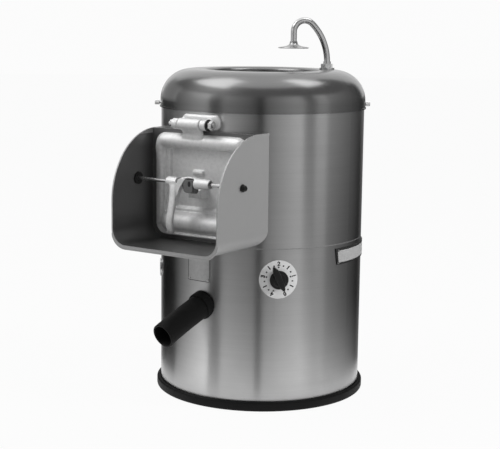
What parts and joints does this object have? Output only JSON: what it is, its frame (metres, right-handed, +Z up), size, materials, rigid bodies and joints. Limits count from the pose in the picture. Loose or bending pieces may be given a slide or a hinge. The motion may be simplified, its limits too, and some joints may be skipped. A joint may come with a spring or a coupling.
{
  "type": "electric potato peeler",
  "caption": "Free-standing drum potato peeler with a domed open cover, water spout, cam-latched discharge door in a U-shaped chute, dial timer and rubber drain hose.",
  "frame": {"origin": "on the floor, on the drum's axis, in the middle of the base plate's underside", "axes": "+Z up along the drum's axis, -Y towards the discharge chute, +X to the right seen from the chute"},
  "size_m": [0.4219, 0.541, 0.7486],
  "materials": {
    "shell_steel": "brushed round the drum",
    "cover_steel": "polished",
    "sheet_steel": "satin",
    "cast_aluminium": "satin cast",
    "bright_metal": "bright plated",
    "black_nuts": "black",
    "rubber": "matt black",
    "machine_steel": "machined",
    "cast_iron": "painted casting",
    "motor_paint": "enamel",
    "laminations": "stacked sheet",
    "capacitor_case": "gloss",
    "abrasive": "grit coated",
    "black_plastic": "moulded",
    "timer_case": "moulded",
    "timer_spindle": "machined",
    "dial_white": "white enamel",
    "plate_metal": "satin",
    "side_plate_finish": "black border round a bare silver field"
  },
  "bodies": {
    "root": {"base_bumper": "rubber", "base_plate": "cast_iron", "lower_shell": "shell_steel", "upper_shell": "shell_steel", "chamber_pan": "cast_aluminium", "abrasive_liner": "abrasive", "cover": "cover_steel", "rim_seal": "rubber", "cover_screws": "bright_metal", "spout_fitting": "bright_metal", "spout_nut": "bright_metal", "water_inlet": "bright_metal", "chute": "sheet_steel", "door_frame": "sheet_steel", "hinge_bracket": "cast_aluminium", "hinge_bolts": "machine_steel", "hinge_pin": "bright_metal", "hinge_nut": "bright_metal", "latch_rod": "bright_metal", "rod_nuts": "black_nuts", "rod_washers": "black_nuts", "drain_hose": "rubber", "hose_clamp": "bright_metal", "shaft_seal": "rubber", "upper_bearing": "machine_steel", "lower_bearing": "machine_steel", "bearing_housing": "cast_iron", "housing_bolts": "machine_steel", "drive_belt": "rubber", "motor_stator": "laminations", "motor_can": "motor_paint", "motor_end_bell": "motor_paint", "motor_foot": "motor_paint", "motor_bolts": "machine_steel", "capacitor": "capacitor_case", "timer_body": "timer_case", "timer_nut": "bright_metal", "dial_plate": "dial_white", "data_plate": "plate_metal", "side_plate": "side_plate_finish", "plate_rivets": "bright_metal", "blanking_cap": "bright_metal", "cord_gland": "black_plastic", "supply_lead": "rubber", "motor_lead": "rubber"},
    "disc": {"peeling_disc": "cast_aluminium", "disc_cap": "bright_metal", "main_shaft": "machine_steel", "driven_pulley": "machine_steel"},
    "motor_rotating": {"motor_pulley": "machine_steel", "motor_shaft": "machine_steel", "motor_rotor": "laminations"},
    "dial_knob": {"timer_shaft": "timer_spindle", "timer_knob": "black_plastic"},
    "spout": {"spout_foot": "bright_metal", "gooseneck": "bright_metal", "spray_disc": "bright_metal"},
    "latch": {"latch_lever": "cast_aluminium"},
    "discharge_door": {"door": "cast_aluminium", "door_gasket": "rubber"}
  },
  "joints": [
    {"name": "disc_spin", "type": "hinge", "parent": "root", "child": "disc", "pos_m": [0, 0, 0.3], "axis": [0, 0, 1], "continuous": true},
    {"name": "motor_spin", "type": "hinge", "parent": "root", "child": "motor_rotating", "pos_m": [0, 0.105, 0.2], "axis": [0, 0, 1], "continuous": true},
    {"name": "latch_turn", "type": "hinge", "parent": "root", "child": "latch", "pos_m": [0, -0.25, 0.441], "axis": [-1, 0, 0], "range_deg": [0, 115]},
    {"name": "door_swing", "type": "hinge", "parent": "root", "child": "discharge_door", "pos_m": [0, -0.226, 0.548], "axis": [-1, 0, 0], "range_deg": [0, 16.1]},
    {"name": "timer_turn", "type": "hinge", "parent": "root", "child": "dial_knob", "pos_m": [0.13845, -0.14847, 0.258], "axis": [0.682, -0.7314, 0], "range_deg": [0, 312]},
    {"name": "spout_swivel", "type": "hinge", "parent": "root", "child": "spout", "pos_m": [0.08848, 0.0993, 0.65], "axis": [0, 0, 1], "range_deg": [-90, 90]}
  ],
  "couplings": [
    {"joint": "motor_spin", "follows": "disc_spin", "ratio": 3.75},
    {"joint": "door_swing", "follows": "latch_turn", "ratio": 0.14}
  ]
}
